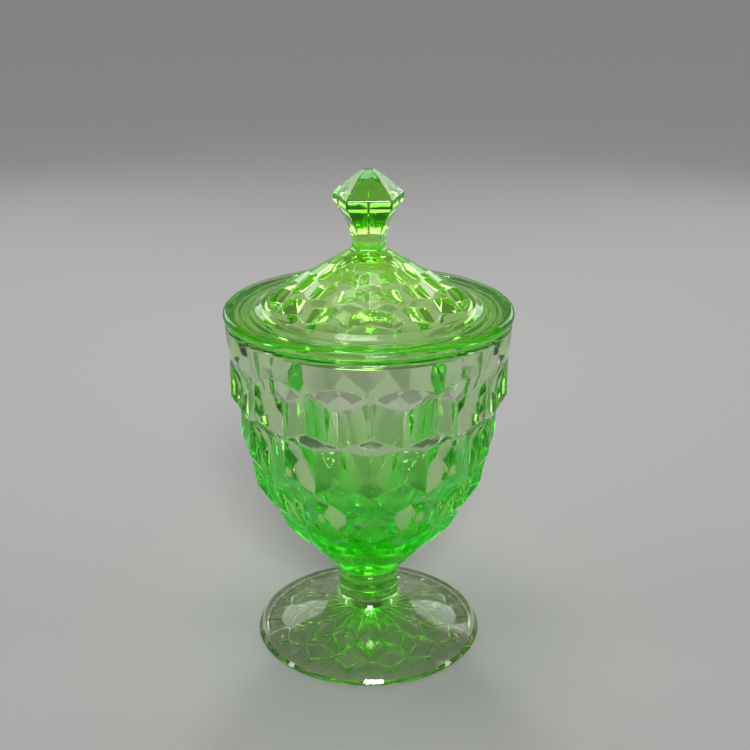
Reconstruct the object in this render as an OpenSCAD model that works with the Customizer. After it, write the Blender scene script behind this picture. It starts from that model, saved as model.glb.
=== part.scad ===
// Covered dish of pressed glass: a footed jar and a loose lid.
// Both carry a relief of stacked blocks: rows of upright faces, with a leaning diamond between rows.
// Millimetres, Z up, the origin at the middle of the foot's rest plane.

/* [Jar bowl] */
// Blocks in one row round the bowl
block_count = 14; // [12:1:16]
// Height of the jar's rim above the table
rim_height = 117.0; // [112:0.5:122]
// Outer radius of the jar at its rim
rim_radius = 47.1; // [46.5:0.1:48]
// Outer radius of the plain band where the relief starts
band_radius = 46.3; // [46:0.1:46.8]
// Rounding of the rim's two edges
rim_round = 1.2; // [0.4:0.1:1.5]
// Inner radius of the mouth
mouth_radius = 43.4; // [42.8:0.1:44]
// Height of the floor inside the bowl
floor_height = 34.8; // [33:0.2:38]
// Radius at which the inner wall starts to curve under
wall_pull = [38.6, 88.0]; // [30:0.1:100]
// How far the flat of the inner floor pulls the curve outward
floor_pull = 34.0; // [28:0.5:35]

/* [Jar relief, radius and height] */
// First row: side corners of the diamonds
joint_1 = [46.27, 104.79]; // [20:0.01:120]
// First row: lower corners of the diamonds
low_1 = [43.01, 99.68]; // [20:0.01:120]
// Second row: upper corners of the diamonds
tip_2 = [46.39, 92.53]; // [20:0.01:120]
// Second row: side corners
joint_2 = [43.18, 87.57]; // [20:0.01:120]
// Second row: lower corners
low_2 = [39.98, 84.36]; // [20:0.01:120]
// Third row: upper corners
tip_3 = [43.12, 75.34]; // [20:0.01:120]
// Third row: side corners
joint_3 = [40.22, 69.19]; // [20:0.01:120]
// Third row: lower corners
low_3 = [35.03, 61.54]; // [20:0.01:120]
// Fourth row: upper corners
tip_4 = [38.45, 59.35]; // [20:0.01:120]
// Fourth row: side corners
joint_4 = [33.70, 52.99]; // [20:0.01:120]
// Fourth row: lower corners
low_4 = [28.02, 47.37]; // [20:0.01:120]
// Fifth row: upper corners
tip_5 = [30.06, 45.86]; // [20:0.01:120]
// Fifth row: side corners
joint_5 = [24.68, 40.20]; // [20:0.01:120]
// Fifth row: lower corners
low_5 = [21.10, 35.84]; // [20:0.01:120]

/* [Jar stem and foot] */
// Radius at the top of the stem, under the bowl
stem_top_radius = 11.9; // [11:0.1:13]
// Height of the top of the stem
stem_top = 26.4; // [25:0.1:28]
// Radius of the stem
stem_radius = 10.3; // [9:0.1:11.5]
// How far the ring round the stem stands out
stem_ring = 0.6; // [0.3:0.1:1]
// Radius of the foot
foot_radius = 39.3; // [37:0.1:42]
// Thickness of the foot at its edge
foot_edge = 2.2; // [1.8:0.1:3]
// Radius and height of the crease round the foot's top, where the flat rim meets the cone
foot_crease = [30.8, 3.6]; // [2:0.1:36]
// Inner radius of the ring the foot rests on
rest_inner = 35.6; // [34:0.1:36.5]
// Height of the hollow under the foot, at its middle
foot_hollow = 9.0; // [6:0.1:9.5]
// How far the relief under the foot stands in and out
foot_relief = 0.75; // [0.3:0.05:0.9]
// Inner row of diamonds under the foot: radii of inner, side and outer corners
foot_1 = [14.5, 19.0, 24.0]; // [10:0.1:34]
// Outer row of diamonds under the foot
foot_2 = [25.3, 28.5, 31.8]; // [10:0.1:34]

/* [Lid] */
// Blocks in one row round the lid
lid_block_count = 14; // [12:1:16]
// Radius of the lid's flange
flange_radius = 47.65; // [47:0.05:49]
// Thickness of the flange
flange_thick = 3.3; // [2.6:0.1:4]
// Gap left under the flange where it rests on the rim
seat_gap = 0.1; // [0.05:0.05:0.2]
// Outer radius of the ring that drops into the mouth
guide_radius = 42.1; // [41:0.1:42.3]
// How deep that ring reaches
guide_depth = 3.5; // [2.5:0.1:5]
// Inner radius of that ring
guide_inner = 39.2; // [38:0.1:39.8]
// Outer radius of the round shoulder between the flange and the blocks
shoulder_radius = 37.5; // [36.5:0.1:39]
// Radius of the shoulder's upper edge
shoulder_top = 34.9; // [34:0.1:36]
// Radius of the dome at its base
dome_radius = 33.2; // [32:0.1:34]
// Height of the dome's base above the table
dome_base = 122.0; // [121.6:0.1:123]
// How much the dome rises for each millimetre inward
dome_slope = 0.64; // [0.6:0.01:0.68]
// Thickness of the dome, measured upright
dome_thick = 4.2; // [3.6:0.1:5]
// How far the relief stands in and out at the dome's base
dome_relief = 1.8; // [1:0.1:2.2]
// Outermost row, which the shoulder cuts: radii of upper and side corners
row_0 = [28.9, 32.9]; // [5:0.1:34]
// Next row of diamonds inward: radii of upper, side and lower corners
row_1 = [22.9, 25.2, 28.3]; // [5:0.1:34]
// Third row of diamonds from outside
row_2 = [16.8, 18.4, 20.4]; // [5:0.1:34]
// Fourth row
row_3 = [11.6, 12.8, 14.0]; // [5:0.1:34]
// Innermost row
row_4 = [7.6, 8.4, 9.3]; // [5:0.1:34]

/* [Knob] */
// Flat sides round the knob
knob_sides = 5; // [5:1:6]
// Height of the knob's top above the table
total_height = 165.1; // [163:0.1:168]
// Corner radius of the knob at its widest
knob_radius = 12.3; // [11:0.1:13]
// Corner radius of the little flat on top
knob_tip = 1.8; // [1:0.1:3]
// Corner radius of the knob's neck
neck_radius = 5.95; // [5:0.05:7]

/* [Hidden] */
CLEAR_GREEN = [0.62, 0.85, 0.52, 0.5];
VIVID_GREEN = [0.45, 0.8, 0.3, 0.5];
ROUND = 120;
STEPS = 24;
flange_low = rim_height + seat_gap;
flange_top = flange_low + flange_thick;
rise_1 = (joint_1[0] * cos(180 / block_count) - low_1[0]) / (joint_1[1] - low_1[1]);
cone_top = rim_height + 3;
cone_radius = (low_1[0] + (cone_top - low_1[1]) * rise_1) / cos(180 / block_count);

function bez(a, b, c, d, t) =
  a * pow(1 - t, 3) + 3 * b * pow(1 - t, 2) * t + 3 * c * (1 - t) * t * t + d * pow(t, 3);

function curve(a, b, c, d, steps) = [for (i = [0:steps]) bez(a, b, c, d, i / steps)];

function arc(x, y, r, from, to, steps) =
  [for (i = [0:steps]) let (a = from + (to - from) * i / steps) [x + r * cos(a), y + r * sin(a)]];

// One ring of points; half moves it round by half a block
function ring(n, half, at) =
  [for (k = [0:n - 1]) let (a = -90 + (k + half) * 360 / n) [at[0] * cos(a), at[0] * sin(a), at[1]]];

function at(n, r, k) = r * n + (k + n) % n;

// Diamond between an upper, a side and a lower ring; s is 1 where the upper ring runs half a block ahead
function diamond(n, up, side, low, s) =
  [for (k = [0:n - 1]) each [
    [at(n, up, k), at(n, low, k), at(n, side, k - 1 + s)],
    [at(n, up, k), at(n, side, k + s), at(n, low, k)]
  ]];

// Upright faces of each block, from its top corner to the tip below and to the corners on both sides
function uprights(n, top, low, tip, side, s) =
  [for (k = [0:n - 1]) each [
    [at(n, top, k), at(n, side, k + s), at(n, tip, k)],
    [at(n, top, k), at(n, low, k + s), at(n, side, k + s)],
    [at(n, top, k), at(n, tip, k), at(n, side, k - 1 + s)],
    [at(n, top, k), at(n, side, k - 1 + s), at(n, low, k - 1 + s)]
  ]];

function cap(n, r) = [for (k = [0:n - 1]) at(n, r, n - 1 - k)];

function round_cap(n, r) = [for (k = [0:n - 1]) each [at(n, r + 1, n - 1 - k), at(n, r, n - 1 - k)]];

function round_base(n, r) = [for (k = [0:n - 1]) each [at(n, r, k), at(n, r + 1, k)]];

// Outside of the bowl: five rows of blocks below a wide cone that the plain band trims
module bowl_blocks() {
  n = block_count;
  points = concat(
    ring(n, 0, [cone_radius, cone_top]),
    ring(n, 0, joint_1), ring(n, 0.5, low_1),
    ring(n, 0, tip_2), ring(n, 0.5, joint_2), ring(n, 0, low_2),
    ring(n, 0.5, tip_3), ring(n, 0, joint_3), ring(n, 0.5, low_3),
    ring(n, 0, tip_4), ring(n, 0.5, joint_4), ring(n, 0, low_4),
    ring(n, 0.5, tip_5), ring(n, 0, joint_5), ring(n, 0.5, low_5),
    ring(n, 0, [stem_top_radius, stem_top]),
    ring(n, 0.5, [stem_top_radius, stem_top])
  );
  first = [for (k = [0:n - 1]) each [
    [at(n, 0, k), at(n, 2, k), at(n, 1, k)],
    [at(n, 0, k), at(n, 0, k + 1), at(n, 2, k)],
    [at(n, 0, k + 1), at(n, 1, k + 1), at(n, 2, k)]
  ]];
  polyhedron(
    points = points,
    faces = concat(
      [cap(n, 0)],
      [round_base(n, 15)],
      first,
      uprights(n, 1, 2, 3, 4, 0),
      diamond(n, 3, 4, 5, 0),
      uprights(n, 4, 5, 6, 7, 1),
      diamond(n, 6, 7, 8, 1),
      uprights(n, 7, 8, 9, 10, 0),
      diamond(n, 9, 10, 11, 0),
      uprights(n, 10, 11, 12, 13, 1),
      diamond(n, 12, 13, 14, 1),
      uprights(n, 13, 14, 15, 16, 0)
    )
  );
}

// Plain band under the rim, with the rim's outer edge rounded; it trims the first row's diamonds
module band_limit() {
  rotate_extrude($fn = ROUND)
    polygon(concat(
      [
        [0, stem_top - 1],
        [band_radius + 0.3, stem_top - 1],
        [band_radius + 0.3, joint_1[1] - 4],
        [band_radius, joint_1[1]]
      ],
      arc(rim_radius - rim_round, rim_height - rim_round, rim_round, 0, 90, 5),
      [[0, rim_height]]
    ));
}

// Space inside the bowl, with the rim's inner edge rounded
module bowl_space() {
  wall_top = rim_height - rim_round;
  r = curve(0, floor_pull, wall_pull[0], mouth_radius, STEPS);
  z = curve(floor_height, floor_height, wall_pull[1], wall_top, STEPS);
  rotate_extrude($fn = ROUND)
    polygon(concat(
      [for (i = [0:STEPS]) [r[i], z[i]]],
      arc(mouth_radius + rim_round, wall_top, rim_round, 180, 90, 5),
      [
        [mouth_radius + rim_round, rim_height + 1],
        [0, rim_height + 1]
      ]
    ));
}

// Stem with its thin ring, and the foot spreading out below it
module stem_and_foot() {
  edge = 0.8;
  ring_at = stem_top - 2.8;
  r = curve(foot_crease[0], 22.5, stem_radius + 0.6, stem_radius, 14);
  z = curve(foot_crease[1], 7.0, 9.3, 17.5, 14);
  rotate_extrude($fn = ROUND)
    polygon(concat(
      [[0, 0]],
      arc(foot_radius - 0.5, 0.5, 0.5, -90, 0, 4),
      arc(foot_radius - edge, foot_edge - edge, edge, 0, 60, 3),
      [[foot_radius - edge, foot_edge + 0.1]],
      [for (i = [0:14]) [r[i], z[i]]],
      [[stem_radius, ring_at - 1]],
      arc(stem_radius, ring_at, stem_ring, -60, 60, 6),
      [
        [stem_radius, ring_at + 1],
        [stem_radius + 0.3, stem_top - 1.1],
        [stem_top_radius - 0.6, stem_top - 0.3],
        [stem_top_radius - 0.1, stem_top],
        [stem_top_radius - 0.1, stem_top + 0.4],
        [stem_top_radius - 3, stem_top + 4],
        [0, stem_top + 4]
      ]
    ));
}

// Height of the roof of the hollow under the foot
function foot_in(r) = foot_hollow - r * (foot_hollow - 0.9) / (rest_inner - 1);

// Inner, side and outer corners of one row of diamonds under the foot
function foot_rings(n, half, row) = concat(
  ring(n, half, [row[0], foot_in(row[0]) + foot_relief]),
  ring(n, 0.5 - half, [row[1], foot_in(row[1])]),
  ring(n, half, [row[2], foot_in(row[2]) - foot_relief])
);

// Hollow under the foot, its roof in shallow blocks
module foot_space() {
  n = block_count;
  polyhedron(
    points = concat(
      ring(n, 0, [8, foot_in(8)]), ring(n, 0.5, [8, foot_in(8)]),
      foot_rings(n, 0, foot_1), foot_rings(n, 0.5, foot_2),
      ring(n, 0, [rest_inner - 1, 0.9]), ring(n, 0.5, [rest_inner - 1, 0.9]),
      ring(n, 0, [rest_inner + 0.9, -1]), ring(n, 0.5, [rest_inner + 0.9, -1])
    ),
    faces = concat(
      [round_cap(n, 0)],
      uprights(n, 0, 1, 2, 3, 0),
      diamond(n, 2, 3, 4, 0),
      uprights(n, 3, 4, 5, 6, 1),
      diamond(n, 5, 6, 7, 1),
      uprights(n, 6, 7, 8, 9, 0),
      uprights(n, 8, 9, 10, 11, 0),
      [round_base(n, 10)]
    )
  );
}

// Jar, stem and foot, pressed in one piece
module footed_bowl() {
  color(CLEAR_GREEN)
    difference() {
      union() {
        intersection() {
          bowl_blocks();
          band_limit();
        }
        stem_and_foot();
      }
      bowl_space();
      foot_space();
    }
}

// Height of the dome's plain cone, without its relief
function dome_at(r) = dome_base + (dome_radius - r) * dome_slope;

// Radius and height of a corner on the dome; side is -1 below the plain cone, 1 above it
function dome_up(r, side) = [r, dome_at(r) + side * dome_relief * pow(r / dome_radius, 2)];

// Upper, side and lower corners of one row of the dome's diamonds
function dome_rings(n, half, row) = concat(
  ring(n, half, dome_up(row[0], -1)),
  ring(n, 0.5 - half, dome_up(row[1], 0)),
  ring(n, half, dome_up(row[2], 1))
);

// Cone of blocks that makes the dome's outside, down to a wide foot that the shoulder trims
module dome_blocks() {
  n = lid_block_count;
  top = [5.2, dome_at(5.2)];
  ledge = [shoulder_radius + 1, dome_at(row_0[1]) - 0.4];
  foot = [shoulder_radius + 1, flange_top - 0.9];
  polyhedron(
    points = concat(
      ring(n, 0, top), ring(n, 0.5, top),
      dome_rings(n, 0, row_4), dome_rings(n, 0.5, row_3),
      dome_rings(n, 0, row_2), dome_rings(n, 0.5, row_1),
      ring(n, 0, dome_up(row_0[0], -1.4)), ring(n, 0.5, dome_up(row_0[1], 0)),
      ring(n, 0, ledge), ring(n, 0.5, ledge),
      ring(n, 0, foot), ring(n, 0.5, foot)
    ),
    faces = concat(
      [round_cap(n, 0)],
      uprights(n, 0, 1, 2, 3, 0),
      diamond(n, 2, 3, 4, 0),
      uprights(n, 3, 4, 5, 6, 1),
      diamond(n, 5, 6, 7, 1),
      uprights(n, 6, 7, 8, 9, 0),
      diamond(n, 8, 9, 10, 0),
      uprights(n, 9, 10, 11, 12, 1),
      diamond(n, 11, 12, 13, 1),
      uprights(n, 12, 13, 14, 15, 0),
      uprights(n, 14, 15, 16, 17, 0),
      uprights(n, 16, 17, 18, 19, 0),
      [round_base(n, 18)]
    )
  );
}

// Round shoulder that trims the dome's foot, down to the flat top of the flange
module shoulder_limit() {
  up = dome_at(row_0[1]);
  rotate_extrude($fn = ROUND)
    polygon([
      [0, flange_top - 0.8],
      [shoulder_radius, flange_top - 0.8],
      [shoulder_radius, flange_top],
      [shoulder_radius - 0.9, flange_top + 0.5],
      [shoulder_top + 0.5, up - 0.45],
      [shoulder_top, up],
      [shoulder_top, up + 2],
      [6, total_height],
      [0, total_height]
    ]);
}

// Flange, with the guide ring below
module flange() {
  low = flange_low - guide_depth;
  edge = flange_thick / 2;
  rotate_extrude($fn = ROUND)
    polygon(concat(
      [
        [0, low],
        [guide_radius - 0.5, low],
        [guide_radius, low + 0.5],
        [guide_radius, flange_low]
      ],
      arc(flange_radius - edge, flange_low + edge, edge, -75, 90, 9),
      [[0, flange_top]]
    ));
}

// Space under the lid
module lid_space() {
  low = flange_low - guide_depth;
  rotate_extrude($fn = ROUND)
    polygon([
      [0, low - 1],
      [guide_inner, low - 1],
      [guide_inner, low],
      [guide_inner - 0.5, flange_low],
      [guide_inner - 1.2, flange_low + 0.3],
      [dome_radius, dome_at(dome_radius) - dome_thick],
      [7.2, dome_at(7.2) - dome_thick],
      [5.2, dome_at(5.8) - dome_thick],
      [2.6, dome_at(5.0) - dome_thick],
      [0, dome_at(4.8) - dome_thick]
    ]);
}

function knob_ring(r, z) =
  [for (k = [0:knob_sides - 1]) let (a = -90 + (k + 0.5) * 360 / knob_sides) [r * cos(a), r * sin(a), z]];

// Knob: flat sides all the way, from the neck's flare to the little flat on top
module knob() {
  n = knob_sides;
  top = total_height;
  points = concat(
    knob_ring(knob_tip, top),
    knob_ring(knob_radius * 0.41, top - 1.9),
    knob_ring(knob_radius - 0.3, top - 7.9),
    knob_ring(knob_radius, top - 8.6),
    knob_ring(knob_radius, top - 10.3),
    knob_ring(knob_radius - 0.4, top - 11),
    knob_ring(knob_radius * 0.83, top - 13.1),
    knob_ring(neck_radius + 2.9, top - 15.3),
    knob_ring(neck_radius + 1.4, top - 17.8),
    knob_ring(neck_radius + 0.35, top - 20.4),
    knob_ring(neck_radius, top - 22.6),
    knob_ring(neck_radius - 0.1, top - 24.6),
    knob_ring(neck_radius + 0.3, top - 25.9),
    knob_ring(neck_radius + 1.1, top - 26.7)
  );
  polyhedron(
    points = points,
    faces = concat(
      [cap(n, 0)],
      [for (r = [0:12]) for (k = [0:n - 1]) [at(n, r, k), at(n, r, k + 1), at(n, r + 1, k + 1), at(n, r + 1, k)]],
      [[for (k = [0:n - 1]) at(n, 13, k)]]
    )
  );
}

// Lid with its knob, pressed in one piece
module lid() {
  color(VIVID_GREEN)
    difference() {
      union() {
        flange();
        intersection() {
          dome_blocks();
          shoulder_limit();
        }
        knob();
      }
      lid_space();
    }
}

footed_bowl();
lid();
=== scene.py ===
"""Covered dish of pressed uranium glass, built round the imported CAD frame. Metres."""
import math

import bmesh
import bpy
import numpy as np
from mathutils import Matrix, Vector


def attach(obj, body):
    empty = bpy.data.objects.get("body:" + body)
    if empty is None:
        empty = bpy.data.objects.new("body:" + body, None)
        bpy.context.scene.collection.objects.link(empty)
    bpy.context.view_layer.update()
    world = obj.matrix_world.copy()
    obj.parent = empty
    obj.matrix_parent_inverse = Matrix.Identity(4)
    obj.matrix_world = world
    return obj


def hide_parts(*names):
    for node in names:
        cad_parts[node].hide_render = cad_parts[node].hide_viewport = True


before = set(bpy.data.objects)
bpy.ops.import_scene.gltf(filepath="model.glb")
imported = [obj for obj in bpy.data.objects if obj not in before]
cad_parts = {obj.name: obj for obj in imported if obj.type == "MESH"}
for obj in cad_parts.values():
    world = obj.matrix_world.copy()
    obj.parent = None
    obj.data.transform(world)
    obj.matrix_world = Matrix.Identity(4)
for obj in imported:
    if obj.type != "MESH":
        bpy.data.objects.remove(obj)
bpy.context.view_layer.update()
MM = 0.001
# Points closer than this, in metres, are one point
SAME_POINT = 4e-6
scene = bpy.context.scene


# ---------------------------------------------------------------- camera
LENS = 59.45
SENSOR = 36.0
CAM_OUT = 0.38687
CAM_UP = 0.24345
CAM_DOWN = math.radians(20.893)
CAM_TURN = math.radians(-1.12)
CAM_SHIFT = 0.0085


def make_camera():
    data = bpy.data.cameras.new("camera")
    data.lens = LENS
    data.sensor_width = SENSOR
    data.shift_x = CAM_SHIFT
    data.clip_start = 0.01
    data.clip_end = 50
    cam = bpy.data.objects.new("camera", data)
    scene.collection.objects.link(cam)
    cam.location = (CAM_OUT * math.sin(CAM_TURN), -CAM_OUT * math.cos(CAM_TURN), CAM_UP)
    cam.rotation_euler = (math.pi / 2 - CAM_DOWN, 0, CAM_TURN)
    scene.camera = cam


make_camera()


# ---------------------------------------------------------------- shape helpers
# A relief is a row of (radius, height) points taken in turn from two rays half a block apart.
# Between the rays the surface runs in flat facets, so the profile at any angle is a polyline.
def bezier(points, steps):
    a, b, c, d = (np.array(p, float) for p in points)
    t = np.linspace(0, 1, steps + 1)[:, None]
    return a * (1 - t) ** 3 + 3 * b * t * (1 - t) ** 2 + 3 * c * t * t * (1 - t) + d * t**3


def arc(x, y, r, start, end, steps):
    t = np.radians(np.linspace(start, end, steps + 1))
    return np.stack([x + r * np.cos(t), y + r * np.sin(t)], 1)


def edge_at(on_ray, off_ray, half, t):
    """Where the straight edge from a point on ray 0 to one on the next ray crosses angle t:
    (radius, height)."""
    (ra, za), (rb, zb) = on_ray, off_ray
    x, y = rb * math.cos(half) - ra, rb * math.sin(half)
    k = ra * np.tan(t) / (y - np.tan(t) * x)
    return np.stack([np.hypot(ra + k * x, k * y), za + k * (zb - za)], -1)


def folded(t, half):
    """Angle from the nearest ray 0, from 0 to half."""
    t = np.abs(t) % (2 * half)
    return np.minimum(t, 2 * half - t)


def level(lines, t):
    """The polyline's points at angles t: an array of angles x points x (radius, height)."""
    return np.stack([f(t) for f in lines], -2)


def cut(pts, at, axis):
    """Other coordinate of each polyline where its coordinate `axis` is `at`."""
    a, b = pts[..., axis], pts[..., 1 - axis]
    sign = np.sign(a[..., -1:] - a[..., :1])
    passed = (sign * a[..., :-1] <= sign * at[..., None]).sum(-1)
    k = np.clip(passed - 1, 0, a.shape[-1] - 2)[..., None]
    a0, a1 = np.take_along_axis(a, k, -1)[..., 0], np.take_along_axis(a, k + 1, -1)[..., 0]
    b0, b1 = np.take_along_axis(b, k, -1)[..., 0], np.take_along_axis(b, k + 1, -1)[..., 0]
    f = (at - a0) / np.where(np.abs(a1 - a0) < 1e-9, 1e-9, a1 - a0)
    return b0 + np.clip(f, -0.5, 1.5) * (b1 - b0)


def disc(count):
    """Evenly spread points of a unit disc with weights, symmetric about its middle."""
    k = np.arange(count)
    r = np.sqrt((k + 0.5) / count)
    a = k * math.pi * (3 - math.sqrt(5))
    p = np.stack([r * np.cos(a), r * np.sin(a)], 1)
    p = np.concatenate([p, -p])
    w = (1 - (p**2).sum(1)) + 0.15
    return p, w / w.sum()


SPREAD, SHARE = disc(18)
# Reach of a crease line to either side
LINE_WIDTH = 0.8
# Places across half a block: close together beside both rays, where the creases are
ACROSS = np.array([0, 0.03, 0.07, 0.14, 0.28, 0.5, 0.72, 0.86, 0.93, 0.97])
# Places between two creases
DOWN = np.array([0, 0.05, 0.13, 0.3, 0.7, 0.87, 0.95])


def columns(blocks):
    """Angles round the ring from the front ray, ten to each half block."""
    half = math.pi / blocks
    parts = []
    for k in range(blocks):
        parts.append(2 * k * half + ACROSS * half)
        parts.append((2 * k + 2) * half - np.append(1, ACROSS[:0:-1]) * half)
    return np.concatenate(parts)


def relief(lines, blocks, turns, axis, soft, crease_shift=0.0):
    """Rows of rounded relief for every column: rows x columns x (radius, height).
    The surface is a graph over `axis` (1: radius over height, 0: height over radius), and every
    point is the mean of the flat facets round it, which leaves the creases rounded.
    crease_shift moves a narrow line along the creases by that much."""
    half = math.pi / blocks
    t = folded(turns, half)
    pts = level(lines, t)
    rows = []
    for i in range(pts.shape[1] - 1):
        for v in DOWN:
            rows.append(pts[:, i] * (1 - v) + pts[:, i + 1] * v)
    rows.append(pts[:, -1])
    rows = np.stack(rows)
    ends = (rows[0][:, axis].copy(), rows[-1][:, axis].copy())
    over = rows[..., axis]
    low = np.minimum(*ends)
    high = np.maximum(*ends)
    total = np.zeros(over.shape)
    # Less rounding next to the two ends, so that the rows there stay where they are
    room = np.minimum(over - low, high - over)
    size = np.minimum(soft, np.maximum(room, 0))
    radius = rows[..., 0]
    for (dx, dy), share in zip(SPREAD, SHARE):
        ang = folded(turns[None, :] + dx * size / radius, half)
        where = over + dy * size
        total += share * cut(level(lines, ang), where, axis)
    rows[..., 1 - axis] = total
    if crease_shift:
        rows[..., 1 - axis] += crease_shift * crease_lines(lines, half, turns, over)
    return rows


def crease_lines(lines, half, turns, over):
    """1 on a crease, falling to 0 at LINE_WIDTH beside it, for a relief whose graph is over radius.
    Rings of creases run zigzag; upright ones join them along the rays, except inside the diamonds."""
    t = folded(turns, half)
    step = 0.01
    t_ahead, t_behind = np.clip(t + step, 0, half), np.clip(t - step, 0, half)
    at = level(lines, t)[..., 0]
    rise = level(lines, t_ahead)[..., 0] - level(lines, t_behind)[..., 0]
    lean = rise / (t_ahead - t_behind)[:, None] / at
    away = np.abs(over[..., None] - at[None])[..., 1:-1] / np.sqrt(1 + lean[None, :, 1:-1] ** 2)
    near = away.min(-1)
    # Diamonds lie between lines 1 and 2, 3 and 4
    between = (over[..., None] > at[None]).sum(-1)
    in_diamond = (between == 2) | (between == 4)
    upright = over * np.minimum(t, half - t)[None]
    near = np.where(in_diamond, near, np.minimum(near, upright))
    return np.clip(1 - near / LINE_WIDTH, 0, 1) ** 2


def tube(rows, turns):
    """Rows of a surface of revolution for every column."""
    rows = np.asarray(rows, float)
    return np.repeat(rows[:, None, :], len(turns), 1)


def skin(name, rows, turns, phase=-math.pi / 2):
    """Closed mesh from rows (radius, height) of every column; first and last rows close on a point.
    turns may differ from row to row."""
    turns = np.broadcast_to(turns, rows.shape[:2])
    count, around = rows.shape[:2]
    a = phase + turns
    xyz = np.stack([rows[..., 0] * np.cos(a), rows[..., 0] * np.sin(a), rows[..., 1]], -1) * MM
    between = [tuple(p) for p in xyz[1:-1].reshape(-1, 3)]
    verts = [tuple(xyz[0].mean(0))] + between + [tuple(xyz[-1].mean(0))]
    last = len(verts) - 1
    faces = []
    for j in range(around):
        faces.append((0, 1 + (j + 1) % around, 1 + j))
    for i in range(count - 3):
        base = 1 + i * around
        for j in range(around):
            k = (j + 1) % around
            faces.append((base + j, base + k, base + around + k, base + around + j))
    base = 1 + (count - 3) * around
    for j in range(around):
        faces.append((base + j, base + (j + 1) % around, last))
    mesh = bpy.data.meshes.new(name)
    mesh.from_pydata(verts, [], faces)
    obj = bpy.data.objects.new(name, mesh)
    scene.collection.objects.link(obj)
    tidy_mesh(mesh)
    return obj


def tidy_mesh(mesh):
    """Merges the rows that run together at the diamonds' corners, and turns every face outward."""
    bm = bmesh.new()
    bm.from_mesh(mesh)
    bmesh.ops.remove_doubles(bm, verts=bm.verts, dist=SAME_POINT)
    bmesh.ops.dissolve_degenerate(bm, edges=bm.edges, dist=SAME_POINT / 2)
    bmesh.ops.recalc_face_normals(bm, faces=bm.faces)
    for face in bm.faces:
        face.smooth = True
    if bm.calc_volume(signed=True) < 0:
        bmesh.ops.reverse_faces(bm, faces=bm.faces)
    bm.to_mesh(mesh)
    bm.free()


# ---------------------------------------------------------------- jar
BLOCKS = 14
RIM_R, RIM_Z, RIM_ROUND, MOUTH_R = 47.1, 117.0, 1.2, 43.4
BAND_R = 46.3
J1, B1 = (46.27, 104.79), (43.01, 99.68)
T2, J2, B2 = (46.39, 92.53), (43.18, 87.57), (39.98, 84.36)
T3, J3, B3 = (43.12, 75.34), (40.22, 69.19), (35.03, 61.54)
T4, J4, B4 = (38.45, 59.35), (33.70, 52.99), (28.02, 47.37)
T5, J5, B5 = (30.06, 45.86), (24.68, 40.20), (21.10, 35.84)
STEM_TOP_R, STEM_TOP = 11.9, 26.4
STEM_R, STEM_RING = 10.3, 0.6
FOOT_R, FOOT_EDGE, REST_IN, HOLLOW = 39.3, 2.2, 35.6, 9.0
CREASE_R, CREASE_Z = 30.8, 3.6
FLOOR_Z, FLOOR_PULL, WALL_PULL = 34.8, 34.0, (38.6, 88.0)
BAND_TOP = (RIM_R, RIM_Z - RIM_ROUND)
# Relief under the foot: height, radii of its two rows, middle disc, and the lip it ends on
FOOT_RELIEF, FOOT_DISC = 0.75, 8
FOOT_ROW1, FOOT_ROW2 = (14.5, 19, 24), (25.3, 28.5, 31.8)
LIP_R, LIP_Z = REST_IN - 1, 0.9
# Bevel from the foot's top to its side: each point's way in from the edge and down from the top
FOOT_BEVEL = [(1.6, -0.22), (1.3, -0.1), (1.08, 0.08), (1.0, 0.18), (0.3, 1.18), (0.23, 1.28), (0.06, 1.46)]
# Softness of the creases on the bowl and under the foot, and the ridges along the latter
BOWL_SOFT, FOOT_SOFT, FOOT_RIDGE = 0.28, 0.25, 0.6


def first_crease(half):
    """The arc where the plain band cuts the first row's diamonds."""
    rise = (J1[0] * math.cos(half) - B1[0]) / (J1[1] - B1[1])
    lean = (BAND_TOP[0] - BAND_R) / (BAND_TOP[1] - J1[1])

    def line(t):
        c = np.cos(t - half)
        z = (c * (BAND_R - J1[1] * lean) - B1[0] + B1[1] * rise) / (rise - c * lean)
        z = np.maximum(z, edge_at(J1, B1, half, t)[..., 1])
        return np.stack([BAND_R + (z - J1[1]) * lean, z], -1)

    return line


def jar_lines(half):
    pairs = [(J1, B1), (T2, J2), (B2, J2), (J3, T3), (J3, B3), (T4, J4), (B4, J4), (J5, T5), (J5, B5)]
    lines = [lambda t: np.stack([np.full(t.shape, BAND_TOP[0]), np.full(t.shape, BAND_TOP[1])], -1)]
    lines.append(first_crease(half))
    for on_ray, off_ray in pairs:
        lines.append(lambda t, a=on_ray, b=off_ray: edge_at(a, b, half, t))
    end = (STEM_TOP_R, STEM_TOP)
    lines.append(lambda t: edge_at(end, end, half, t))
    return lines


def foot_in(r, side=0):
    """Point of the hollow's cone at radius r, raised (1) or sunk (-1) by the relief."""
    return (r, HOLLOW - r * (HOLLOW - LIP_Z) / LIP_R + side * FOOT_RELIEF)


def foot_lines(half):
    (up1, mid1, low1), (up2, mid2, low2) = FOOT_ROW1, FOOT_ROW2
    rings = [
        (foot_in(FOOT_DISC), foot_in(FOOT_DISC)),
        (foot_in(up1, 1), foot_in(mid1)),
        (foot_in(low1, -1), foot_in(mid1)),
        (foot_in(mid2), foot_in(up2, 1)),
        (foot_in(mid2), foot_in(low2, -1)),
        ((LIP_R, LIP_Z), (LIP_R, LIP_Z)),
    ]
    return [lambda t, a=a, b=b: edge_at(a, b, half, t) for a, b in rings]


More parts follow.
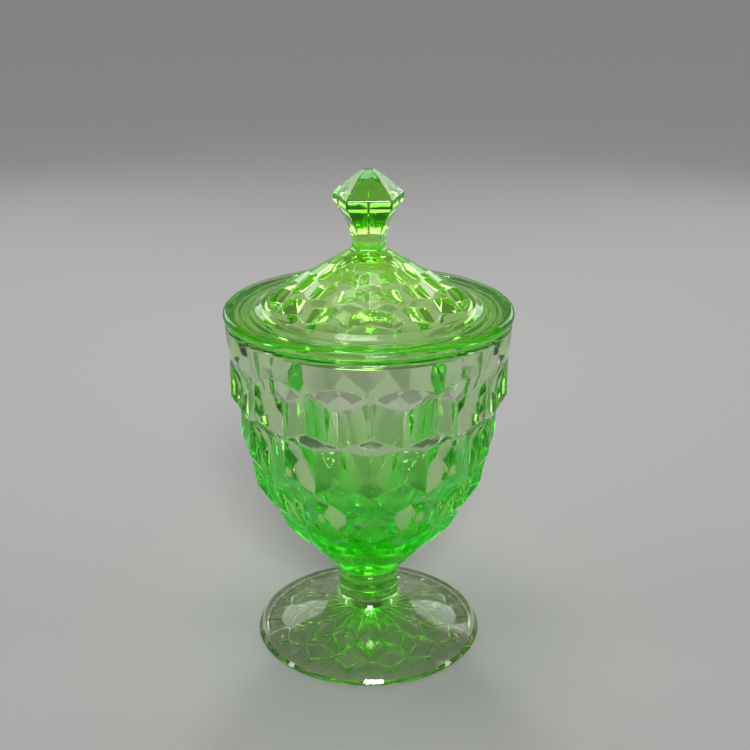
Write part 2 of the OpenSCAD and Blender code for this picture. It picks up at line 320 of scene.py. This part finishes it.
def make_jar():
    half = math.pi / BLOCKS
    turns = columns(BLOCKS)
    wall_top = RIM_Z - RIM_ROUND
    inner = bezier([(0.0, FLOOR_Z), (FLOOR_PULL, FLOOR_Z), WALL_PULL, (MOUTH_R, wall_top)], 40)
    rim = np.concatenate(
        [
            arc(MOUTH_R + RIM_ROUND, wall_top, RIM_ROUND, 180, 90, 6)[1:],
            arc(RIM_R - RIM_ROUND, wall_top, RIM_ROUND, 90, 0, 6)[:-1],
        ]
    )
    outside = relief(jar_lines(half), BLOCKS, turns, 1, BOWL_SOFT)
    ring_at = STEM_TOP - 2.8
    stem = np.concatenate(
        [
            [(STEM_TOP_R - 0.35, STEM_TOP - 0.25), (STEM_TOP_R - 1.0, STEM_TOP - 0.65)],
            [(STEM_R + 0.28, STEM_TOP - 1.1), (STEM_R + 0.05, STEM_TOP - 1.5), (STEM_R, ring_at + 0.9)],
            arc(STEM_R, ring_at, STEM_RING, 66, -66, 6),
            [(STEM_R, ring_at - 0.9), (STEM_R, ring_at - 3)],
        ]
    )
    cone = bezier([(STEM_R, 17.5), (STEM_R + 0.6, 9.3), (22.5, 7.0), (CREASE_R, CREASE_Z)], 26)
    rim_fall = (CREASE_Z - FOOT_EDGE - 0.1) / (CREASE_R - FOOT_R + 0.8)
    flat = [(CREASE_R + d, CREASE_Z + d * rim_fall) for d in (0.25, 0.6, 1.5, 4.0, 6.3)]
    top = np.concatenate([cone[:-1], [(CREASE_R - 0.2, CREASE_Z + 0.06)], flat])
    edge = np.concatenate(
        [
            [(FOOT_R - inward, FOOT_EDGE - down) for inward, down in FOOT_BEVEL],
            arc(FOOT_R - 0.6, 0.6, 0.6, 0, -90, 5),
            [(FOOT_R - 1.6, 0.0), (REST_IN + 0.9, 0.0)],
            arc(REST_IN + 0.9, 0.55, 0.55, -90, -140, 3)[1:],
        ]
    )
    under = relief(foot_lines(half), BLOCKS, turns, 0, FOOT_SOFT, -FOOT_RIDGE)[::-1]
    ceiling = foot_in(FOOT_DISC)[1]
    middle = [(5, ceiling + 0.05), (2.5, ceiling + 0.08), (0, ceiling + 0.08)]
    rows = np.concatenate(
        [
            tube(inner, turns),
            tube(rim, turns),
            outside,
            tube(stem, turns),
            tube(top, turns),
            tube(edge, turns),
            under,
            tube(middle, turns),
        ]
    )
    return skin("jar", rows, turns)


# ---------------------------------------------------------------- lid
LID_BLOCKS = 14
FLANGE_R, FLANGE_LOW, FLANGE_THICK = 47.65, 117.1, 3.3
FLANGE_TOP = FLANGE_LOW + FLANGE_THICK
GUIDE_R, GUIDE_DEPTH, GUIDE_IN = 42.1, 3.5, 39.2
SHOULDER_R, SHOULDER_TOP = 37.5, 34.9
DOME_R, DOME_Z, DOME_SLOPE, DOME_THICK, DOME_RELIEF = 33.2, 122.0, 0.64, 4.2, 1.8
ROW0, ROW1 = (28.9, 32.9), (22.9, 25.2, 28.3)
ROW2, ROW3, ROW4 = (16.8, 18.4, 20.4), (11.6, 12.8, 14.0), (7.6, 8.4, 9.3)
KNOB_TOP, KNOB_R, NECK_R, KNOB_SIDES = 165.1, 12.3, 5.95, 5
# How far the knob's columns gather towards its corners, in sides
CORNER_PULL = 0.085
# Softness of the dome's creases and of the knob's
DOME_SOFT, KNOB_SOFT = 0.4, 0.7


def dome_at(r):
    return DOME_Z + (DOME_R - r) * DOME_SLOPE


def dome_under(r):
    return (r, dome_at(r) - DOME_THICK)


def dome_up(r, side):
    """Point of the dome's cone at radius r, raised or sunk by the relief, which fades inward."""
    return (r, dome_at(r) + side * DOME_RELIEF * (r / DOME_R) ** 2)


def lid_lines(half):
    top = (6.3, dome_at(6.3))
    ledge = (SHOULDER_TOP + 0.1, dome_at(ROW0[1]) - 0.15)
    slope = (36.6, FLANGE_TOP + 0.5)
    up, low, mid = -1, 1, 0
    pairs = [
        (top, top),
        (dome_up(ROW4[0], up), dome_up(ROW4[1], mid)),
        (dome_up(ROW4[2], low), dome_up(ROW4[1], mid)),
        (dome_up(ROW3[1], mid), dome_up(ROW3[0], up)),
        (dome_up(ROW3[1], mid), dome_up(ROW3[2], low)),
        (dome_up(ROW2[0], up), dome_up(ROW2[1], mid)),
        (dome_up(ROW2[2], low), dome_up(ROW2[1], mid)),
        (dome_up(ROW1[1], mid), dome_up(ROW1[0], up)),
        (dome_up(ROW1[1], mid), dome_up(ROW1[2], low)),
        (dome_up(ROW0[0], 1.4 * up), dome_up(ROW0[1], mid)),
    ]
    lines = [lambda t, a=a, b=b: edge_at(a, b, half, t) for a, b in pairs]
    for circle in (ledge, slope):
        lines.append(lambda t, c=circle: np.stack([np.full(t.shape, c[0]), np.full(t.shape, c[1])], -1))
    return lines


def knob_turns(column_count):
    """Angles of the columns on the knob, close together beside its corners."""
    side = 2 * math.pi / KNOB_SIDES
    per = column_count // KNOB_SIDES
    s = np.arange(column_count) / per
    k = np.floor(s)
    f = s - k
    # f runs from one flat's middle to the next; corners are at one half
    bend = f + CORNER_PULL * np.sin(2 * math.pi * f)
    return (k + bend) * side


KNOB_RINGS = [
    (1.8, 0),
    (5.04, 1.9),
    (KNOB_R - 0.3, 7.9),
    (KNOB_R, 8.6),
    (KNOB_R, 10.3),
    (KNOB_R - 0.4, 11.0),
    (KNOB_R * 0.83, 13.1),
    (NECK_R + 2.9, 15.3),
    (NECK_R + 1.4, 17.8),
    (NECK_R + 0.35, 20.4),
    (NECK_R, 22.6),
    (NECK_R - 0.1, 24.6),
    (NECK_R + 0.3, 25.9),
]


def knob_surface(t, z):
    """Radius of the knob's five flat sides at angle t and height z."""
    half = math.pi / KNOB_SIDES
    heights = np.array([KNOB_TOP - d for _, d in KNOB_RINGS])[::-1]
    radii = np.array([r for r, _ in KNOB_RINGS])[::-1]
    corner = np.interp(z, heights, radii)
    return corner * math.cos(half) / np.cos(folded(t, half))


def knob_rows(turns):
    """Rows of the knob, top last, with rounded corners and creases."""
    depths = [24.4, 24.0, 23.3, 22.6, 21.5, 20.4, 19.1, 17.8, 16.5, 15.3, 14.2, 13.1, 12.2, 11.5]
    depths += [11.15, 10.9, 10.6, 10.3, 9.9, 9.0, 8.75, 8.5, 8.25, 8.0, 7.7, 7.2, 6.4, 5.2, 4.0, 3.0]
    depths += [2.5, 2.15, 1.9, 1.65, 1.35, 0.9, 0.5, 0.25, 0.12, 0.06]
    rows = []
    for d in depths:
        z = np.full(turns.shape, KNOB_TOP - d)
        raw = knob_surface(turns, z)
        soft = min(KNOB_SOFT, d * 0.8) * np.clip(raw / 7, 0.4, 1)
        total = np.zeros(turns.shape)
        for (dx, dy), share in zip(SPREAD, SHARE):
            zz = np.clip(z + dy * soft, 0, KNOB_TOP)
            total += share * knob_surface(turns + dx * soft / raw, zz)
        rows.append(np.stack([total, z], -1))
    tip = rows[-1][:, 0]
    for share_out, down in ((0.8, 0.03), (0.4, 0.0), (0.0, 0.0)):
        rows.append(np.stack([tip * share_out, np.full(turns.shape, KNOB_TOP - down)], -1))
    return np.stack(rows)


def make_lid():
    half = math.pi / LID_BLOCKS
    turns = columns(LID_BLOCKS)
    on_knob = knob_turns(len(turns))
    low = FLANGE_LOW - GUIDE_DEPTH
    mid = FLANGE_THICK / 2
    # Rounded peak of the inside: radius, and the cone's radius at the same height
    peak = [(0, 4.8), (1.4, 4.85), (2.6, 5.0), (4.0, 5.4), (5.2, 5.9), (6.2, 6.45)]
    cone = (7.4, 9, 11, 14, 17, 20, 23, 26, 29, 31.5)
    turn = [dome_under(32.6), dome_under(34.4), (36.2, FLANGE_LOW + 0.5), (38.0, FLANGE_LOW + 0.3)]
    under = np.concatenate(
        [
            [(r, dome_under(same)[1]) for r, same in peak],
            [dome_under(r) for r in cone],
            bezier(turn, 5),
            arc(GUIDE_IN - 1.1, FLANGE_LOW - 0.5, 0.8, 80, 10, 4),
            [(GUIDE_IN - 0.15, low + 1.6), (GUIDE_IN - 0.03, low + 0.7)],
            arc(GUIDE_IN + 0.5, low + 0.5, 0.5, 180, 270, 4),
            arc(GUIDE_R - 0.5, low + 0.5, 0.5, -90, 0, 4),
            [(GUIDE_R, low + 1.6), (GUIDE_R, FLANGE_LOW - 0.45)],
            arc(GUIDE_R + 0.4, FLANGE_LOW - 0.4, 0.4, 180, 90, 3)[1:],
            [(GUIDE_R + 2, FLANGE_LOW), (FLANGE_R - mid - 1.0, FLANGE_LOW)],
            arc(FLANGE_R - mid, FLANGE_LOW + mid, mid, -90, 90, 14),
            [(FLANGE_R - 3.5, FLANGE_TOP), (SHOULDER_R + 2.5, FLANGE_TOP), (SHOULDER_R + 0.8, FLANGE_TOP)],
            [(SHOULDER_R + 0.25, FLANGE_TOP + 0.03), (SHOULDER_R - 0.2, FLANGE_TOP + 0.16)],
            [(SHOULDER_R - 0.55, FLANGE_TOP + 0.32)],
        ]
    )
    dome = relief(lid_lines(half), LID_BLOCKS, turns, 0, DOME_SOFT)[::-1]
    knob = knob_rows(on_knob)
    # The neck's flare runs from the knob's five sides into the dome's blocks
    start, end = dome[-1], knob[0]
    steps = (0.25, 0.5, 0.75)
    neck = []
    for f in steps:
        share = np.array([math.sin(f * math.pi / 2), 1 - math.cos(f * math.pi / 2)])
        neck.append(start * (1 - share) + end * share)
    rows = np.concatenate([tube(under, turns), dome, np.stack(neck), knob])
    ease = np.concatenate([np.zeros(len(under) + len(dome)), steps, np.ones(len(knob))])
    all_turns = turns[None, :] * (1 - ease[:, None]) + on_knob[None, :] * ease[:, None]
    return skin("lid_glass_body", rows, all_turns)


jar = make_jar()
lid = make_lid()


# ---------------------------------------------------------------- glass
def node(tree, kind, **values):
    n = tree.nodes.new(kind)
    for key, value in values.items():
        setattr(n, key, value)
    return n


def math_node(tree, op, a, b):
    n = node(tree, "ShaderNodeMath", operation=op)
    for i, v in enumerate((a, b)):
        if isinstance(v, (int, float)):
            n.inputs[i].default_value = v
        else:
            tree.links.new(v, n.inputs[i])
    return n.outputs[0]


def noise(tree, coords, scale, detail, rough=0.5, stretch=None):
    if stretch:
        m = node(tree, "ShaderNodeMapping")
        m.inputs["Scale"].default_value = stretch
        tree.links.new(coords, m.inputs["Vector"])
        coords = m.outputs[0]
    n = node(tree, "ShaderNodeTexNoise")
    n.inputs["Scale"].default_value = scale
    n.inputs["Detail"].default_value = detail
    n.inputs["Roughness"].default_value = rough
    tree.links.new(coords, n.inputs["Vector"])
    return n.outputs["Fac"]


def ramp(tree, fac, stops):
    n = node(tree, "ShaderNodeValToRGB")
    e = n.color_ramp.elements
    while len(e) > 1:
        e.remove(e[-1])
    for i, (pos, colour) in enumerate(stops):
        s = e[0] if i == 0 else e.new(pos)
        s.position = pos
        s.color = (*colour, 1)
    n.color_ramp.interpolation = "EASE"
    tree.links.new(fac, n.inputs["Fac"])
    return n.outputs["Color"]


# Glass: refraction, the colour its thickness lets through and how strongly, and the strength of the painted
# glow, green light emitted though the glass is no lamp
IOR = 1.51
PASSES = (0.5, 0.95, 0.02)
JAR_DENSITY, LID_DENSITY = 48, 85
PAINTED_GLOW_STRENGTH = 0.5
# Height in metres at which the ramps end, and how far the clouds in the melt shift them
RAMP_TOP, CLOUD_SHIFT = 0.17, 0.06
# Deeper green of glass seen on edge, and the facing at which it starts and is full
VIVID = (0.04, 0.88, 0.02)
EDGE_FROM, EDGE_FULL = 0.14, 0.42
# Noise scales, in features per metre: clouds, dull patches, mould waves, cords, orange peel
CLOUDS, PATCHES, WAVES, CORDS, PEEL = 45, 120, 70, 160, 900
# Roughness of the polished skin, and what its duller patches add
POLISH, DULL = 0.012, 0.1
# Height of the skin's relief, and the shares of the cords and of the orange peel in it
BUMP_STRENGTH, BUMP_HEIGHT, CORD_SHARE, PEEL_SHARE = 0.36, 0.0004, 0.35, 0.03


def glass(name, tint, rim_band, painted_glow, density):
    """Pressed uranium glass: tint and painted glow are ramps over height (0 at the table, 1 at RAMP_TOP).
    The painted glow is green light emitted by the glass's own surface, which is no lamp.
    VIVID takes over where the glass is seen on edge, as strongly as the ramp rim_band says."""
    mat = bpy.data.materials.new(name)
    mat.use_nodes = True
    tree = mat.node_tree
    tree.nodes.clear()
    out = node(tree, "ShaderNodeOutputMaterial")
    p = node(tree, "ShaderNodeBsdfPrincipled")
    p.inputs["Transmission Weight"].default_value = 1.0
    p.inputs["IOR"].default_value = IOR
    coords = node(tree, "ShaderNodeTexCoord").outputs["Object"]
    split = node(tree, "ShaderNodeSeparateXYZ")
    tree.links.new(coords, split.inputs[0])
    cloud = noise(tree, coords, CLOUDS, 2)
    height = math_node(tree, "DIVIDE", split.outputs["Z"], RAMP_TOP)
    shift = math_node(tree, "MULTIPLY", math_node(tree, "SUBTRACT", cloud, 0.5), CLOUD_SHIFT)
    shaken = math_node(tree, "ADD", height, shift)
    edge = node(tree, "ShaderNodeLayerWeight")
    edge.inputs["Blend"].default_value = 0.5
    on_edge = node(tree, "ShaderNodeMapRange", interpolation_type="SMOOTHSTEP")
    on_edge.inputs["From Min"].default_value = EDGE_FROM
    on_edge.inputs["From Max"].default_value = EDGE_FULL
    tree.links.new(edge.outputs["Facing"], on_edge.inputs["Value"])
    much = math_node(tree, "MULTIPLY", on_edge.outputs["Result"], ramp(tree, shaken, rim_band))
    mix = node(tree, "ShaderNodeMix", data_type="RGBA")
    tree.links.new(much, mix.inputs["Factor"])
    tree.links.new(ramp(tree, shaken, tint), mix.inputs["A"])
    mix.inputs["B"].default_value = (*VIVID, 1)
    tree.links.new(mix.outputs["Result"], p.inputs["Base Color"])
    # Painted glow: green light emitted by the glass's own surface, as strong as the ramp says
    tree.links.new(ramp(tree, shaken, painted_glow), p.inputs["Emission Color"])
    p.inputs["Emission Strength"].default_value = PAINTED_GLOW_STRENGTH
    # Fire-polished skin: nearly clear, with faint duller patches
    polish = noise(tree, coords, PATCHES, 4, 0.6)
    dull = math_node(tree, "MULTIPLY", math_node(tree, "POWER", polish, 3.0), DULL)
    tree.links.new(math_node(tree, "ADD", dull, POLISH), p.inputs["Roughness"])
    # Slow waves left by the mould, cords drawn out in the melt, and a fine orange peel
    wave = noise(tree, coords, WAVES, 1)
    cord = noise(tree, coords, CORDS, 2, 0.5, (1, 1, 0.25))
    peel = noise(tree, coords, PEEL, 2)
    skin_relief = math_node(tree, "ADD", wave, math_node(tree, "MULTIPLY", cord, CORD_SHARE))
    skin_relief = math_node(tree, "ADD", skin_relief, math_node(tree, "MULTIPLY", peel, PEEL_SHARE))
    bump = node(tree, "ShaderNodeBump")
    bump.inputs["Strength"].default_value = BUMP_STRENGTH
    bump.inputs["Distance"].default_value = BUMP_HEIGHT
    tree.links.new(skin_relief, bump.inputs["Height"])
    tree.links.new(bump.outputs[0], p.inputs["Normal"])
    volume = node(tree, "ShaderNodeVolumeAbsorption")
    volume.inputs["Color"].default_value = (*PASSES, 1)
    volume.inputs["Density"].default_value = density
    tree.links.new(p.outputs[0], out.inputs["Surface"])
    tree.links.new(volume.outputs[0], out.inputs["Volume"])
    return mat


# Tint of the jar's glass over height. The paler tint over the foot, up to 0.06, is painted light: it lifts
# the shade of the foot's own shadow on the floor seen through it.
JAR_TINT_AND_PAINTED_LIGHT = [
    (0.0, (0.90, 0.95, 0.82)),
    (0.06, (0.90, 0.95, 0.80)),
    (0.11, (0.48, 0.90, 0.30)),
    (0.24, (0.50, 0.90, 0.34)),
    (0.36, (0.86, 0.95, 0.78)),
    (0.50, (0.96, 0.97, 0.95)),
    (1.0, (0.98, 0.98, 0.97)),
]
JAR_RIM_BAND = [
    (0.0, (0.0, 0.0, 0.0)),
    (0.10, (0.0, 0.0, 0.0)),
    (0.17, (1.0, 1.0, 1.0)),
    (0.44, (1.0, 1.0, 1.0)),
    (0.53, (0.0, 0.0, 0.0)),
    (1.0, (0.0, 0.0, 0.0)),
]
# Painted glow of the jar: emitted green light over the stem and lower bowl, though the glass is no lamp
JAR_PAINTED_GLOW = [
    (0.0, (0.0, 0.0, 0.0)),
    (0.09, (0.0, 0.01, 0.0)),
    (0.15, (0.0, 0.08, 0.0)),
    (0.24, (0.0, 0.07, 0.0)),
    (0.36, (0.0, 0.025, 0.0)),
    (0.46, (0.0, 0.0, 0.0)),
    (1.0, (0.0, 0.0, 0.0)),
]
LID_TINT = [
    (0.0, (0.86, 0.97, 0.70)),
    (0.71, (0.86, 0.97, 0.70)),
    (0.75, (0.88, 0.95, 0.76)),
    (0.84, (0.82, 0.94, 0.60)),
    (0.88, (0.66, 0.82, 0.45)),
    (0.97, (0.48, 0.66, 0.28)),
]
LID_RIM_BAND = [
    (0.0, (0.0, 0.0, 0.0)),
    (0.80, (0.0, 0.0, 0.0)),
    (0.83, (0.7, 0.7, 0.7)),
    (0.86, (0.0, 0.0, 0.0)),
    (1.0, (0.0, 0.0, 0.0)),
]
# Painted glow of the lid: faint emitted green light all over, strongest over the upper dome and the neck
LID_PAINTED_GLOW = [
    (0.0, (0.0, 0.02, 0.0)),
    (0.70, (0.0, 0.02, 0.0)),
    (0.73, (0.04, 0.09, 0.0)),
    (0.78, (0.05, 0.12, 0.0)),
    (0.84, (0.06, 0.14, 0.0)),
    (0.90, (0.0, 0.02, 0.0)),
    (0.95, (0.0, 0.02, 0.0)),
    (1.0, (0.02, 0.04, 0.0)),
]
jar.data.materials.append(glass("jar_glass", JAR_TINT_AND_PAINTED_LIGHT, JAR_RIM_BAND, JAR_PAINTED_GLOW, JAR_DENSITY))
lid.data.materials.append(glass("lid_glass", LID_TINT, LID_RIM_BAND, LID_PAINTED_GLOW, LID_DENSITY))

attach(jar, "jar")
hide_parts("footed_bowl")
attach(lid, "lid")
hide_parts("lid")


# ---------------------------------------------------------------- studio
FLOOR_HALF = 40.0
FLOOR_TONE = (0.5, 0.5, 0.49)
# The floor lies this far below the foot, so that the two don't share a plane
FLOOR_DROP = 0.00002


def make_floor():
    mesh = bpy.data.meshes.new("floor")
    s = FLOOR_HALF
    mesh.from_pydata([(-s, -s, 0), (s, -s, 0), (s, s, 0), (-s, s, 0)], [], [(0, 1, 2, 3)])
    obj = bpy.data.objects.new("floor", mesh)
    scene.collection.objects.link(obj)
    mat = bpy.data.materials.new("floor")
    mat.use_nodes = True
    p = mat.node_tree.nodes["Principled BSDF"]
    p.inputs["Base Color"].default_value = (*FLOOR_TONE, 1)
    p.inputs["Roughness"].default_value = 0.9
    mesh.materials.append(mat)
    obj.location.z = -FLOOR_DROP


def area(name, place, target, size, power):
    data = bpy.data.lights.new(name, "AREA")
    data.shape = "RECTANGLE"
    data.size, data.size_y = size
    data.energy = power
    obj = bpy.data.objects.new(name, data)
    scene.collection.objects.link(obj)
    obj.location = place
    obj.rotation_euler = (Vector(target) - Vector(place)).to_track_quat("-Z", "Y").to_euler()


# The key: a distant, wide and soft light from the front, so that the floor is lit evenly
KEY_POWER, KEY_WIDTH = 1.75, 0.29
KEY_TILT, KEY_TURN = math.radians(54), math.radians(4)


def key_light():
    data = bpy.data.lights.new("key", "SUN")
    data.energy = KEY_POWER
    data.angle = KEY_WIDTH
    obj = bpy.data.objects.new("key", data)
    scene.collection.objects.link(obj)
    obj.rotation_euler = (KEY_TILT, 0, KEY_TURN)


# Brightness of the surroundings over the sine of their height above the horizon
SURROUNDINGS = [(0.0, 0.28), (0.16, 0.28), (0.4, 0.07), (1.0, 0.14)]


def make_world():
    world = bpy.data.worlds.new("studio")
    scene.world = world
    world.use_nodes = True
    tree = world.node_tree
    back = tree.nodes["Background"]
    coords = node(tree, "ShaderNodeTexCoord").outputs["Generated"]
    split = node(tree, "ShaderNodeSeparateXYZ")
    tree.links.new(coords, split.inputs[0])
    tones = [(pos, (tone, tone, tone)) for pos, tone in SURROUNDINGS]
    tree.links.new(ramp(tree, split.outputs["Z"], tones), back.inputs["Color"])
    back.inputs["Strength"].default_value = 1.0


make_floor()
make_world()
key_light()
area("back left", (-0.382, 0.636, 0.355), (0, 0, 0.01), (0.26, 0.30), 0.45)
area("back right", (0.382, 0.636, 0.355), (0, 0, 0.01), (0.26, 0.30), 0.45)
area("back top", (0, 0.40, 0.56), (0, 0, 0.03), (0.10, 0.10), 0.7)
area("top", (-0.05, 0.02, 0.65), (0, 0, 0.09), (0.2, 0.2), 0.55)
area("side left", (-0.75, -0.10, 0.30), (0, 0, 0.08), (0.08, 0.3), 0.7)
area("side right", (0.75, -0.10, 0.30), (0, 0, 0.08), (0.08, 0.3), 0.7)

scene.cycles.max_bounces = 24
scene.cycles.transmission_bounces = 24
scene.cycles.glossy_bounces = 8
scene.view_settings.view_transform = "Standard"
